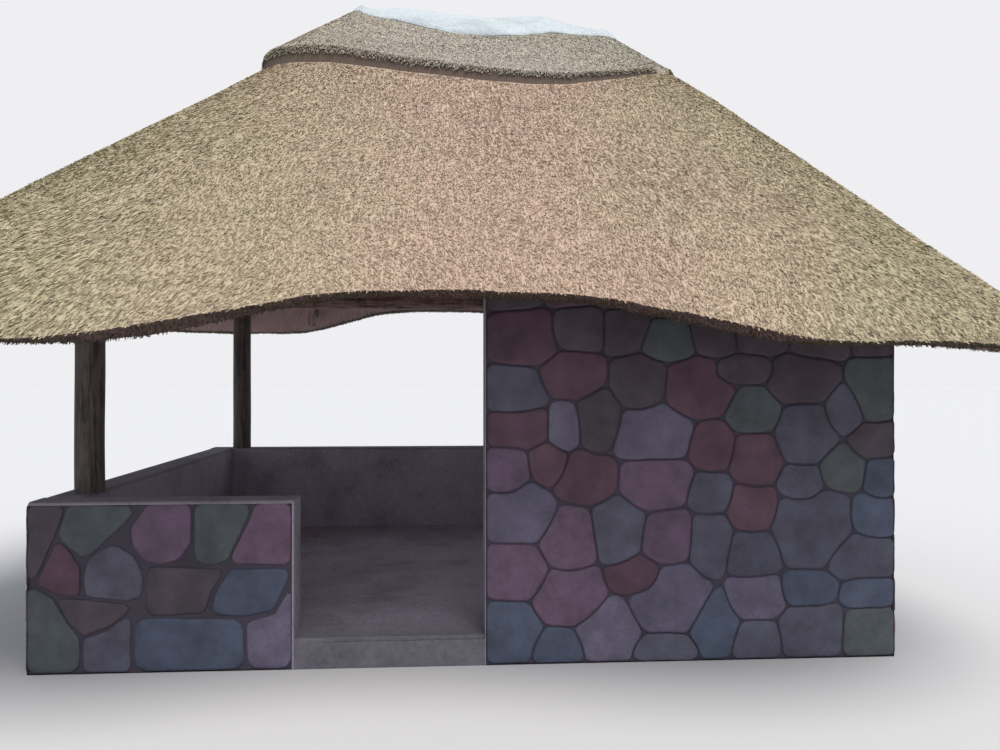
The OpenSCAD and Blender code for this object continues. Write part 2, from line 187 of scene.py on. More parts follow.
class Nodes:
    """A short way to write a material's nodes."""

    def __init__(self, name, roughness=0.5):
        self.material = bpy.data.materials.new(name)
        self.material.use_nodes = True
        self.tree = self.material.node_tree
        self.shader = self.tree.nodes["Principled BSDF"]
        self.shader.inputs["Specular IOR Level"].default_value = 0.3
        self.shader.inputs["Roughness"].default_value = roughness

    def node(self, kind, values=(), **options):
        made = self.tree.nodes.new("ShaderNode" + kind)
        for key, value in options.items():
            setattr(made, key, value)
        for socket, value in dict(values).items():
            if isinstance(value, bpy.types.NodeSocket):
                self.tree.links.new(value, made.inputs[socket])
            else:
                made.inputs[socket].default_value = value
        return made

    def place(self, scale=(1, 1, 1), move=(0, 0, 0)):
        """Object coordinates, stretched and moved."""
        where = self.node("TexCoord").outputs["Object"]
        values = {"Vector": where, "Scale": scale, "Location": move}
        return self.node("Mapping", values).outputs[0]

    def unwrapped(self, scale=(1, 1, 1)):
        """The piece's own across and along coordinates, stretched."""
        where = self.node("UVMap", uv_map="Stems").outputs[0]
        return self.node("Mapping", {"Vector": where, "Scale": scale}).outputs[0]

    def noise(self, where, scale, detail=4, roughness=0.6):
        values = {"Vector": where, "Scale": scale, "Detail": detail, "Roughness": roughness}
        return self.node("TexNoise", values).outputs[0]

    def ramp(self, value, stops):
        made = self.node("ValToRGB", {"Fac": value})
        elements = made.color_ramp.elements
        while len(elements) < len(stops):
            elements.new(0.5)
        for element, (position, colour) in zip(elements, stops):
            element.position = position
            element.color = (*colour, 1)
        return made.outputs[0]

    def mix(self, share, one, other, blend="MIX"):
        made = self.node("Mix", data_type="RGBA", blend_type=blend)
        for socket, value in ((made.inputs[0], share), (made.inputs[6], one), (made.inputs[7], other)):
            if isinstance(value, bpy.types.NodeSocket):
                self.tree.links.new(value, socket)
            elif isinstance(value, float):
                socket.default_value = value
            else:
                socket.default_value = (*value, 1)
        return made.outputs[2]

    def greening(self):
        """How green the thatch has weathered: in patches, and more towards the hips."""
        patches = self.noise(self.place(), scale=0.9, detail=4)
        where = self.place((0.32, 0, 0), (-0.13, 0, 0))
        middle = self.node("TexGradient", {"Vector": where}, gradient_type="SPHERICAL")
        share = self.mix(0.62, patches, middle.outputs["Fac"])
        return self.ramp(share, greys((0.42, 0.9), (0.74, 0)))

    def each(self):
        """A random number for each loose part of the mesh."""
        return self.node("NewGeometry").outputs["Random Per Island"]

    def link(self, output, socket):
        self.tree.links.new(output, self.shader.inputs[socket])

    def bump(self, height, strength, distance):
        values = {"Height": height, "Strength": strength, "Distance": distance}
        self.link(self.node("Bump", values).outputs[0], "Normal")


def scaled(colour, by):
    """A colour made lighter or darker."""
    return tuple(min(1, c * by) for c in colour)


def greys(*stops):
    """Stops of a ramp in plain greys, from pairs of a place and a level."""
    return tuple((place, (level, level, level)) for place, level in stops)


def packed_stems_material(name, colour, green=None):
    """Long stems pressed side by side, which turn green where the cut stems do if green is given."""
    m = Nodes(name, roughness=0.9)
    stems = m.noise(m.unwrapped((160, 5, 1)), scale=1, detail=5)
    patches = m.noise(m.place(), scale=2.2, detail=3)
    tint = colour if green is None else m.mix(m.greening(), colour, green)
    shades = m.ramp(stems, greys((0.34, 0.62), (0.52, 1), (0.72, 1.4)))
    share = m.ramp(patches, greys((0.4, 1), (0.65, 0.5)))
    m.link(m.mix(share, tint, m.mix(1.0, tint, shades, "MULTIPLY")), "Base Color")
    m.bump(stems, strength=0.7, distance=0.006)
    return m.material


def stem_shades(colour):
    """Stops of a ramp through the shades of stems of one colour."""
    return tuple((place, scaled(colour, by)) for place, by in STEM_SHADES)


def stem_material(name, colour, green, tone=1.0):
    """Cut stems: each one its own shade, greener in patches and towards the hips, in fine level bands."""
    m = Nodes(name, roughness=0.75)
    each = m.each()
    # A tone below 1 darkens all the stems as painted shade
    dry = m.ramp(each, stem_shades(scaled(colour, tone)))
    weathered = m.ramp(each, stem_shades(scaled(green, tone)))
    share = m.greening()
    level = m.noise(m.place((3, 3, 12)), scale=1.6, detail=3)
    bands = m.ramp(level, ((0.36, (0.76, 0.73, 0.72)), (0.6, (1, 1, 1))))
    tufts = m.noise(m.place((1, 1, 1.8)), scale=24, detail=3)
    clumps = m.ramp(tufts, ((0.36, (0.74, 0.71, 0.7)), (0.58, (1.06, 1.06, 1.06))))
    straw = m.mix(0.6, m.mix(share, dry, weathered), bands, "MULTIPLY")
    m.link(m.mix(0.55, straw, clumps, "MULTIPLY"), "Base Color")
    return m.material


def stone_material(tone, colour):
    """A painted, slightly pitted stone."""
    m = Nodes("stone_" + tone)
    cloud = m.noise(m.place(), scale=7, detail=5)
    grain = m.noise(m.place(), scale=70, detail=5, roughness=0.7)
    each = m.each()
    stone = m.ramp(cloud, ((0.3, scaled(colour, 0.66)), (0.55, colour), (0.78, scaled(colour, 1.35))))
    own = m.ramp(each, ((0.0, (0.62, 0.62, 0.66)), (1.0, (1.0, 0.97, 0.95))))
    stone = m.mix(0.5, stone, own, "MULTIPLY")
    pits = m.ramp(grain, ((0.36, (0.45, 0.42, 0.42)), (0.6, (1, 1, 1))))
    stone = m.mix(0.4, stone, pits, "MULTIPLY")
    m.link(stone, "Base Color")
    m.link(m.ramp(grain, greys((0.3, 0.5), (0.7, 0.85))), "Roughness")
    m.bump(grain, strength=0.45, distance=0.004)
    return m.material


def plaster_material(name, colour, grain_size=45, painted_shade_from=None):
    """Trowelled mortar or plaster, stained in places; if a y is given, painted shade darkens it up to
    that y and fades out over the reach behind it.
    """
    m = Nodes(name, roughness=0.88)
    cloud = m.noise(m.place(), scale=2.5, detail=5)
    grain = m.noise(m.place(), grain_size, detail=6, roughness=0.7)
    stained = m.ramp(cloud, ((0.32, scaled(colour, 0.72)), (0.5, colour), (0.75, scaled(colour, 1.15))))
    if painted_shade_from is not None:
        y = m.node("SeparateXYZ", {"Vector": m.place()}).outputs["Y"]
        away = {"Value": y, "From Min": painted_shade_from, "From Max": painted_shade_from + PAINTED_SHADE_REACH}
        # Painted shade: darkest at the front of the entrance, fading out further in
        painted_shade = m.ramp(m.node("MapRange", away).outputs[0], PAINTED_SHADE_STOPS)
        stained = m.mix(1.0, stained, painted_shade, "MULTIPLY")
    worn = m.ramp(grain, ((0.34, (0.5, 0.49, 0.48)), (0.62, (1, 1, 1))))
    m.link(m.mix(0.5, stained, worn, "MULTIPLY"), "Base Color")
    m.bump(grain, strength=0.6, distance=0.006)
    return m.material


def pole_material(name, colour, split, grain=(9, 9, 0.8)):
    """Weathered gum pole: drying cracks along its grain."""
    m = Nodes(name, roughness=0.7)
    streaks = m.noise(m.place(grain), scale=4, detail=6, roughness=0.65)
    spots = m.noise(m.place((1, 1, 0.5)), scale=14, detail=3)
    dark, pale = scaled(colour, 0.7), scaled(colour, 1.7)
    bark = m.ramp(streaks, ((0.36, split), (0.47, dark), (0.62, colour), (0.8, pale)))
    knots = m.ramp(spots, ((0.35, (0.4, 0.36, 0.33)), (0.55, (1, 1, 1))))
    m.link(m.mix(0.5, bark, knots, "MULTIPLY"), "Base Color")
    m.bump(streaks, strength=0.8, distance=0.008)
    return m.material


# Meshes


def add_object(name, data):
    """Puts an object into the scene."""
    made = bpy.data.objects.new(name, data)
    bpy.context.scene.collection.objects.link(made)
    return made


def add_piece(name, mesh, replaced=()):
    """Puts a mesh into the scene as a piece that rides on the hut."""
    piece = add_object(name, mesh)
    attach(piece, "root")
    if replaced:
        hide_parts(*replaced)


def finished_mesh(shape, name, materials, sharp_from=None):
    """The mesh of a bmesh, smooth but for edges from an angle on, without the normals it came with."""
    mesh = bpy.data.meshes.new(name)
    shape.to_mesh(mesh)
    shape.free()
    old_normals = mesh.attributes.get("custom_normal")
    if old_normals is not None:
        mesh.attributes.remove(old_normals)
    for material in materials:
        mesh.materials.append(material)
    mesh.shade_smooth()
    if sharp_from is not None:
        mesh.set_sharp_from_angle(angle=math.radians(sharp_from))
    return mesh


def mesh_of_quads(name, corners, material):
    """A mesh of separate quads from an array of (quads, 4, 3) corners."""
    count = len(corners)
    mesh = bpy.data.meshes.new(name)
    mesh.vertices.add(count * 4)
    mesh.vertices.foreach_set("co", corners.astype(np.float32).ravel())
    mesh.loops.add(count * 4)
    mesh.loops.foreach_set("vertex_index", np.arange(count * 4, dtype=np.int32))
    mesh.polygons.add(count)
    mesh.polygons.foreach_set("loop_start", np.arange(0, count * 4, 4, dtype=np.int32))
    mesh.update(calc_edges=True)
    mesh.materials.append(material)
    mesh.validate()
    return mesh


def add_stems(name, quads, material):
    """Adds separate stems as one piece."""
    add_piece(name, mesh_of_quads(name, quads, material))


def welded(node):
    """A CAD node's mesh with its corners welded, to be worked on."""
    shape = bmesh.new()
    shape.from_mesh(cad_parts[node].data)
    bmesh.ops.remove_doubles(shape, verts=shape.verts, dist=WELD)
    return shape


def skin_of(node, unevenness):
    """A finer copy of a CAD node's mesh that swells and sinks a little."""
    shape = welded(node)
    bmesh.ops.subdivide_edges(shape, edges=shape.edges, cuts=2, use_grid_fill=True)
    for vert in shape.verts:
        x, y, _ = vert.co
        swell = noise.noise(Vector((x * 2.1, y * 2.1, 3.0)))
        swell += 0.45 * noise.noise(Vector((x * 6.3, y * 6.3, 12.0)))
        vert.co.z += unevenness * swell
    return shape


def triangles_of(shape):
    """Corners (n, 3, 3) and normals (n, 3) of a bmesh."""
    loops = shape.calc_loop_triangles()
    corners = np.array([[loop.vert.co[:] for loop in triangle] for triangle in loops])
    normals = np.cross(corners[:, 1] - corners[:, 0], corners[:, 2] - corners[:, 0])
    lengths = np.linalg.norm(normals, axis=1)
    keep = lengths > TINY
    return corners[keep], normals[keep] / lengths[keep, None]


def scatter(rng, corners, normals, each_m2):
    """Points spread evenly over triangles, each with its triangle's normal."""
    edges = corners[:, 1:] - corners[:, :1]
    areas = np.linalg.norm(np.cross(edges[:, 0], edges[:, 1]), axis=1) / 2
    count = int(areas.sum() * each_m2)
    pick = rng.choice(len(corners), count, p=areas / areas.sum())
    root, share = np.sqrt(rng.random(count)), rng.random(count)
    weights = np.stack((1 - root, root * (1 - share), root * share), axis=1)
    return np.einsum("nk,nkd->nd", weights, corners[pick]), normals[pick]


def unit(vectors):
    return vectors / np.maximum(np.linalg.norm(vectors, axis=1, keepdims=True), TINY)


def stems(rng, points, normals, down, length, width, rise, spread=0.22):
    """Flat stems that run along down, swayed like their neighbours, and whose cut ends stand off."""
    count = len(points)
    across = unit(np.cross(normals, down))
    x, y, z = points.T
    sway = 0.16 * np.sin(2.3 * x + 1.9 * y + 3.1 * z) + 0.12 * np.sin(5.7 * x - 4.3 * z + 1.4 * y + 2)
    heading = rng.normal(0, spread, (count, 1)) + sway[:, None]
    along = unit(down * np.cos(heading) + across * np.sin(heading))
    side = unit(np.cross(normals, along))
    roll = rng.normal(0, 0.5, (count, 1))
    side = side * np.cos(roll) + normals * np.sin(roll)
    lengths = length * rng.uniform(0.6, 1.35, (count, 1))
    rises = rise * rng.uniform(0.25, 1.2, (count, 1))
    half = width / 2 * rng.uniform(0.6, 1.25, (count, 1))
    head = points - normals * 0.004 - along * lengths / 2
    foot = points + along * lengths / 2 + normals * rises
    edge = side * half
    return np.stack((head - edge * 0.8, head + edge * 0.8, foot + edge, foot - edge), 1)


def fall_line(normals):
    """The steepest way down a surface."""
    down = np.zeros_like(normals)
    down[:, 2] = -1
    return unit(down - normals * np.sum(down * normals, axis=1, keepdims=True))


def covered(layer, points):
    """Which points lie under a layer of the ridge. Points well below the ridge aren't looked at."""
    up = Vector((0, 0, 1))
    lowest = min(vert.co.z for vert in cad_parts["ridge_thatch"].data.vertices) - 0.05
    return np.array([
        z > lowest and layer.ray_cast(Vector((x, y, z)), up, 0.3)[0] is not None
        for x, y, z in points
    ])


def skin_mesh(shape, name, materials, upward=SLOPE_TOP):
    """A skin's mesh: its first material looks up, its last is on level cuts and its second elsewhere."""
    for face in shape.faces:
        if face.normal.z > upward:
            face.material_index = 0
        elif face.normal.z > LEVEL_CUT:
            face.material_index = 1
        else:
            face.material_index = len(materials) - 1
    mesh = finished_mesh(shape, name, materials, sharp_from=40)
    lay_stems_map(mesh)
    return mesh


def lay_stems_map(mesh):
    """Coordinates across and along the stems, in metres, for the skin's material."""
    layer = mesh.uv_layers.new(name="Stems")
    for loop in mesh.loops:
        x, y, z = mesh.vertices[loop.vertex_index].co
        beyond = x - min(max(x, RIDGE_LOW.x), RIDGE_HIGH.x)
        turned = math.atan2(beyond, abs(y - RIDGE_Y)) * TURN_LENGTH
        layer.data[loop.index].uv = (x - beyond + turned, z * SLOPE_LENGTH)


class HUT_OT_thatch(bpy.types.Operator):
    """Thatch of the four slopes: an uneven skin, cut stems over it and the butt ends of the eave"""

    bl_idname = "hut.thatch"
    bl_label = "Thatch"

    def execute(self, context):
        thatch = context.scene.hut_thatch
        skins = [
            packed_stems_material("thatch_ground", thatch.shade, thatch.weathered),
            packed_stems_material("thatch_underside", thatch.underside),
            # The eave's cut face gets the painted shade of the butts colour
            packed_stems_material("thatch_butt_ground", thatch.butts),
        ]
        cut_material = stem_material("cut_stems", thatch.straw, thatch.weathered)
        # The butt stems are darkened to a tone of 0.4 as painted shade under the eave
        butt_painted_shade_material = stem_material("butt_stems", thatch.straw, thatch.weathered, tone=0.4)
        layer = BVHTree.FromObject(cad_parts["ridge_thatch"], bpy.context.evaluated_depsgraph_get())
        for number, side in enumerate(SLOPES):
            node = "thatch_" + side
            rng = np.random.default_rng(40 + number)
            shape = skin_of(node, thatch.unevenness)
            corners, normals = triangles_of(shape)
            add_piece("thatch_skin_" + side, skin_mesh(shape, node, skins), [node])

            outer = normals[:, 2] > SLOPE_TOP
            share = 1.0 if side == "front" else thatch.far_share
            points, facing = scatter(rng, corners[outer], normals[outer], thatch.stems_each_m2 * share)
            open_sky = ~covered(layer, points)
            points, facing = points[open_sky], facing[open_sky]
            way = self.slope_way(points)
            facing = self.rounded(points, facing, way)
            down = unit(way - facing * np.sum(way * facing, axis=1, keepdims=True))
            points = points + np.cross(facing, down) * rng.normal(0, 0.012, (len(points), 1))
            size = (thatch.stem_length, thatch.stem_width, thatch.stem_rise)
            cut = stems(rng, points, facing, down, *size)
            parts = ("upper", "lower") if side == "front" else ("all",)
            order = np.argsort(-points[:, 2])
            for part, chosen in zip(parts, np.array_split(order, len(parts))):
                add_stems("thatch_stems_" + side + "_" + part, cut[chosen], cut_material)

            eave = normals[:, 2] < LEVEL_CUT
            points, facing = scatter(rng, corners[eave], normals[eave], thatch.fringe_each_m2)
            outward = self.slope_way(points)
            roots = points - facing * 0.016 - outward * 0.022
            way = unit(facing + outward * 0.5)
            butts = stems(rng, roots, outward, way, length=0.05, width=0.005, rise=0.006, spread=0.3)
            add_stems("thatch_butts_" + side, butts, butt_painted_shade_material)
        return {"FINISHED"}

    @staticmethod
    def rounded(points, facing, way):
        """Normals turned to the way out from the ridge, the more the further a point is past its ends."""
        past = np.abs(points[:, 0] - np.clip(points[:, 0], RIDGE_LOW.x, RIDGE_HIGH.x))
        share = np.clip(past, 0, 1)[:, None]
        turned = way * np.linalg.norm(facing[:, :2], axis=1, keepdims=True)
        turned[:, 2] = facing[:, 2]
        return unit(facing * (1 - share) + turned * share)

    @staticmethod
    def slope_way(points):
        """The level way out from the ridge at each point."""
        along = np.clip(points[:, 0], RIDGE_LOW.x, RIDGE_HIGH.x)
        middle = np.full(len(points), RIDGE_Y)
        return unit(points - np.stack((along, middle, points[:, 2]), 1))


class HUT_OT_ridge(bpy.types.Operator):
    """Second thatch layer over the ridge, and the mortar capping on it"""

    bl_idname = "hut.ridge"
    bl_label = "Ridge"

    def execute(self, context):
        thatch = context.scene.hut_thatch
        rng = np.random.default_rng(90)
        shape = skin_of("ridge_thatch", thatch.unevenness)
        corners, normals = triangles_of(shape)
        skins = [
            packed_stems_material("ridge_ground", scaled(thatch.ridge, 0.8)),
            # The layer's step is painted shade: the shade colour at 0.22, for the shadow under the
            # layer's edge
            packed_stems_material("ridge_step", scaled(thatch.shade, 0.22)),
        ]
        mesh = skin_mesh(shape, "ridge_thatch", skins, RIDGE_TOP)
        add_piece("ridge_skin", mesh, ["ridge_thatch"])

        outer = normals[:, 2] > RIDGE_TOP
        points, facing = scatter(rng, corners[outer], normals[outer], thatch.stems_each_m2)
        cap = BVHTree.FromObject(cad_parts["ridge_capping"], bpy.context.evaluated_depsgraph_get())
        bare = ~covered(cap, points)
        points, facing = points[bare], facing[bare]
        size = (thatch.stem_length, thatch.stem_width, thatch.stem_rise * 0.7)
        cut = stems(rng, points, facing, fall_line(facing), *size)
        lip = self.lip_stems(rng, corners, normals, outer, thatch)
        # The lip stems' tone of 0.85 is painted shade: it darkens stems that face out and would catch
        # more light
        for name, quads, tone in (("ridge_stems", cut, 1.0), ("ridge_lip_stems", lip, 0.85)):
            material = stem_material(name, thatch.ridge, thatch.weathered, tone)
            add_stems(name, quads, material)
        self.capping(context.scene.hut_ridge)
        return {"FINISHED"}

    @staticmethod
    def lip_stems(rng, corners, normals, outer, thatch):
        """Ragged stem ends that hang over the layer's step, furthest at its left end."""
        lit = corners[outer].reshape(-1, 3)
        top = BVHTree.FromPolygons(lit.tolist(), np.arange(len(lit)).reshape(-1, 3).tolist())
        step = ~outer & (normals[:, 2] > UNDERSIDE)
        points, facing = scatter(rng, corners[step], normals[step], thatch.fringe_each_m2 * 3)
        low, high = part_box("ridge_thatch")
        most = np.interp(points[:, 0], (low.x, high.x), (0.078, 0.034))
        reach = 0.002 + np.sqrt(rng.random(len(points))) * most
        near = np.array([
            top.find_nearest(Vector(point), furthest)[0] is not None
            for point, furthest in zip(points.tolist(), reach)
        ])
        points, facing = points[near], facing[near]
        roots = points + facing * 0.008
        way = unit(fall_line(facing) + facing * 0.3)
        width = thatch.stem_width
        return stems(rng, roots, facing, way, length=0.03, width=width, rise=0.006, spread=0.3)

    @staticmethod
    def capping(ridge):
        """Hand-trowelled mortar with a wandering lower edge."""
        shape = skin_of("ridge_capping", 0)
        shape.normal_update()
        for vert in shape.verts:
            x, y, _ = vert.co
            lump = noise.noise(Vector((x * 3.0, y * 5.0, 21.0)))
            lump += 0.4 * noise.noise(Vector((x * 11.0, y * 11.0, 4.0)))
            if vert.normal.z > 0.1:
                vert.co += vert.normal * ridge.lumps * lump
        mesh = finished_mesh(shape, "ridge_capping", [plaster_material("ridge_mortar", ridge.mortar)])
        add_piece("ridge_mortar_cap", mesh, ["ridge_capping"])


# Stones of the low front wall: the tone, and the corners (x, height) in centimetres from its lower left
# corner

LOW_WALL_STONES = (
    ("dark", (0, 47), (5, 49), (15, 72), (21, 89), (0, 89)),
    ("green", (16, 72), (22, 66), (29, 60), (35, 63), (60, 88), (21, 89)),
    ("pink", (53, 76), (54, 67), (60, 58), (70, 56), (79, 59), (85, 68), (85, 89), (62, 89)),
    ("green", (86, 58), (95, 55), (104, 58), (114, 80), (117, 89), (86, 89)),
    ("pink", (115, 80), (106, 62), (104, 56), (138, 55), (138, 89), (118, 89)),
    ("maroon", (5, 47), (16, 41), (28, 40), (28, 56), (22, 65), (16, 71)),
    ("grey", (36, 64), (31, 59), (29, 50), (30, 40), (52, 37), (60, 40), (60, 53), (55, 62), (45, 68)),
    ("dark", (61, 29), (92, 30), (96, 43), (104, 54), (61, 56)),
    ("blue", (98, 43), (94, 30), (112, 28), (128, 31), (135, 46), (138, 54), (105, 54)),
    ("lavender", (136, 45), (129, 30), (113, 25), (114, 0), (138, 0), (138, 48)),
    ("green", (0, 0), (28, 0), (28, 18), (22, 26), (14, 40), (5, 45), (0, 46)),
    ("dark", (22, 26), (29, 19), (43, 24), (55, 33), (52, 36), (30, 39), (14, 40)),
    ("grey", (29, 0), (54, 0), (54, 32), (43, 23), (29, 18)),
    ("blue", (55, 0), (113, 0), (112, 27), (92, 28), (55, 29)),
)

# Stones of the screen wall: (x, height) of the middle, width and height of the stone in centimetres, and
# its tone

# The dark tone of most stones in the upper rows is painted shade, where the eave shades the top of the
# wall; no stone below them is dark
SCREEN_STONES = (
    (15, 205, 32, 24, "dark"), (46, 206, 30, 22, "maroon"), (75, 205, 30, 22, "dark"),
    (104, 202, 30, 24, "green"), (136, 202, 32, 24, "dark"), (21, 176, 36, 28, "maroon"),
    (52, 181, 30, 22, "dark"), (76, 180, 24, 24, "dark"), (101, 175, 30, 20, "green"),
    (127, 178, 26, 22, "dark"), (153, 180, 32, 22, "dark"), (187, 178, 34, 22, "dark"),
    (217, 176, 24, 18, "dark"), (16, 148, 32, 28, "grey"), (18, 130, 36, 24, "maroon"),
    (47, 157, 32, 25, "maroon"), (43, 128, 18, 25, "lavender"), (62, 131, 22, 33, "dark"),
    (85, 153, 27, 31, "dark"), (92, 125, 40, 31, "lavender"), (118, 150, 36, 32, "maroon"),
    (11, 104, 22, 24, "pink"), (35, 108, 18, 23, "maroon"), (55, 100, 32, 26, "maroon"),
    (93, 98, 35, 29, "pink"), (149, 137, 27, 25, "green"), (142, 160, 34, 15, "dark"),
    (175, 154, 34, 26, "dark"), (177, 124, 27, 34, "grey"), (125, 117, 22, 25, "maroon"),
    (150, 110, 24, 30, "maroon"), (200, 137, 17, 22, "grey"), (218, 150, 23, 34, "green"),
    (218, 119, 22, 17, "dark"), (200, 103, 24, 20, "green"), (176, 97, 22, 20, "grey"),
    (221, 99, 18, 22, "blue"), (124, 91, 21, 21, "grey"), (18, 81, 36, 30, "lavender"),
    (46, 66, 27, 32, "pink"), (73, 71, 25, 36, "grey"), (100, 67, 26, 27, "pink"),
    (124, 63, 20, 32, "grey"), (148, 83, 23, 26, "maroon"), (181, 72, 36, 42, "grey"),
    (218, 78, 22, 22, "blue"), (148, 58, 26, 24, "grey"), (210, 55, 34, 21, "grey"),
    (16, 49, 31, 29, "pink"), (46, 36, 35, 29, "pink"), (82, 47, 27, 20, "maroon"),
    (101, 33, 37, 33, "lavender"), (150, 33, 27, 22, "lavender"), (180, 38, 26, 18, "blue"),
    (214, 35, 27, 15, "blue"), (14, 17, 26, 31, "blue"), (40, 8, 24, 18, "blue"),
    (67, 16, 28, 32, "lavender"), (99, 7, 30, 14, "grey"), (127, 17, 22, 30, "blue"),
    (150, 10, 24, 20, "grey"), (182, 14, 32, 27, "grey"), (215, 13, 30, 25, "green"),
)
TONES = ("maroon", "pink", "grey", "lavender", "blue", "green", "dark")
STONE_ENDS = (
    ("front_parapet", "-X"), ("screen_wall", "+X"), ("back_parapet", "-X"), ("back_parapet", "+X"),
)

# Usual sizes of the stones that the photo doesn't show, in centimetres
COURSE_HEIGHT = 27
STONE_WIDTH = 29
END_COURSE_HEIGHT = 22
# Rings of a stone from its foot in the mortar to its face: share of its outline, and level in reliefs
STONE_RINGS = ((1.0, -1.15), (0.995, -0.5), (0.97, -0.12), (0.9, 0.0), (0.5, 0.05))
# How far the stones' faces lie behind the CAD wall's, in metres
SET_BACK = 0.003


def strewn_stones(rng, width, height):
    """A hidden wall's stones, in loose courses like those of the front."""
    rows = max(2, round(height * 100 / COURSE_HEIGHT))
    columns = max(2, round(width * 100 / STONE_WIDTH))
    found = []
    for row in range(rows):
        for column in range(-1, columns + 1):
            x = (column + 0.5 + 0.5 * (row % 2) + rng.uniform(-0.2, 0.2)) * width * 100 / columns
            z = (row + 0.5 + rng.uniform(-0.18, 0.18)) * height * 100 / rows
            if 2 < x < width * 100 - 2:
                tone = TONES[rng.integers(len(TONES))]
                found.append((x, z, rng.uniform(24, 38), rng.uniform(22, 32), tone))
    return found


def end_stones(rng, width, height):
    """Stones of a wall's end: courses of one wide stone and of two narrow ones."""
    rows = round(height * 100 / END_COURSE_HEIGHT)
    found = []
    for row in range(rows):
        for share in ((0.5,), (0.28, 0.76))[row % 2]:
            z = (row + 0.5 + rng.uniform(-0.14, 0.14)) * height * 100 / rows
            tone = TONES[rng.integers(len(TONES))]
            across = width * 100 / (1 + row % 2)
            found.append((share * width * 100, z, across, rng.uniform(20, 26), tone))
    return found


def ray_outline(middle, inside, joint, sides=44, furthest=0.6, halvings=14):
    """The outline round a middle, out to where inside stops being true, less half a joint."""
    angles = np.linspace(0, 2 * math.pi, sides, endpoint=False)
    way = np.stack((np.cos(angles), np.sin(angles)), 1)
    near, far = np.zeros(sides), np.full(sides, furthest)
    for _ in range(halvings):
        reach = (near + far) / 2
        held = inside(middle + way * reach[:, None])
        near, far = np.where(held, reach, near), np.where(held, far, reach)
    reach = np.maximum(near - joint / 2, 0.01)
    smooth = (np.roll(reach, 1) + 2 * reach + np.roll(reach, -1)) / 4
    return middle + way * np.minimum(reach, smooth)[:, None]


def fitted_outlines(stones, area, joint, lean):
    """Outlines of stones that each reach out to where the next stone or the area's edge is as near."""
    spots = np.array([stone[:4] for stone in stones]) / 100
    (left, low), (right, high) = area
    outlines = []
    for k in range(len(spots)):

        def inside(points):
            own = nearness(points, spots[k : k + 1], lean)[:, 0]
            others = nearness(points, np.delete(spots, k, axis=0), lean).min(axis=1)
            held = (own < others) & (points[:, 0] > left) & (points[:, 0] < right)
            return held & (points[:, 1] > low) & (points[:, 1] < high)

        outlines.append(ray_outline(spots[k, :2], inside, joint))
    return outlines


def nearness(points, spots, lean):
    """How near points are to stones, by each stone's own size; a stone reaches up further than down."""
    offset = points[:, None, :] - spots[None, :, :2]
    offset[:, :, 1] += lean / 2 * spots[None, :, 3]
    length = np.maximum(np.linalg.norm(offset, axis=2), 1e-6)
    reach = 1 + lean * offset[:, :, 1] / length
    return np.linalg.norm(offset / (spots[None, :, 2:] / 2), axis=2) / reach


def cut_outlines(stones, area, joint):
    """Outlines of stones whose corners are known."""
    (left, low), (right, high) = area
    outlines = []
    for entry in stones:
        corners = np.clip(np.array(entry[1:]) / 100, (left, low), (right, high))
        outlines.append(ray_outline(corners.mean(axis=0), lambda points: within(points, corners), joint))
    return outlines


def within(points, corners):
    """Which points lie inside a closed line of corners."""
    ends = np.roll(corners, -1, axis=0)
    across, height = points[:, :1], points[:, 1:]
    passed = (corners[:, 1] > height) != (ends[:, 1] > height)
    rise = np.where(ends[:, 1] == corners[:, 1], 1, ends[:, 1] - corners[:, 1])
    crossing = corners[:, 0] + (height - corners[:, 1]) / rise * (ends[:, 0] - corners[:, 0])
    return (passed & (across < crossing)).sum(axis=1) % 2 == 1


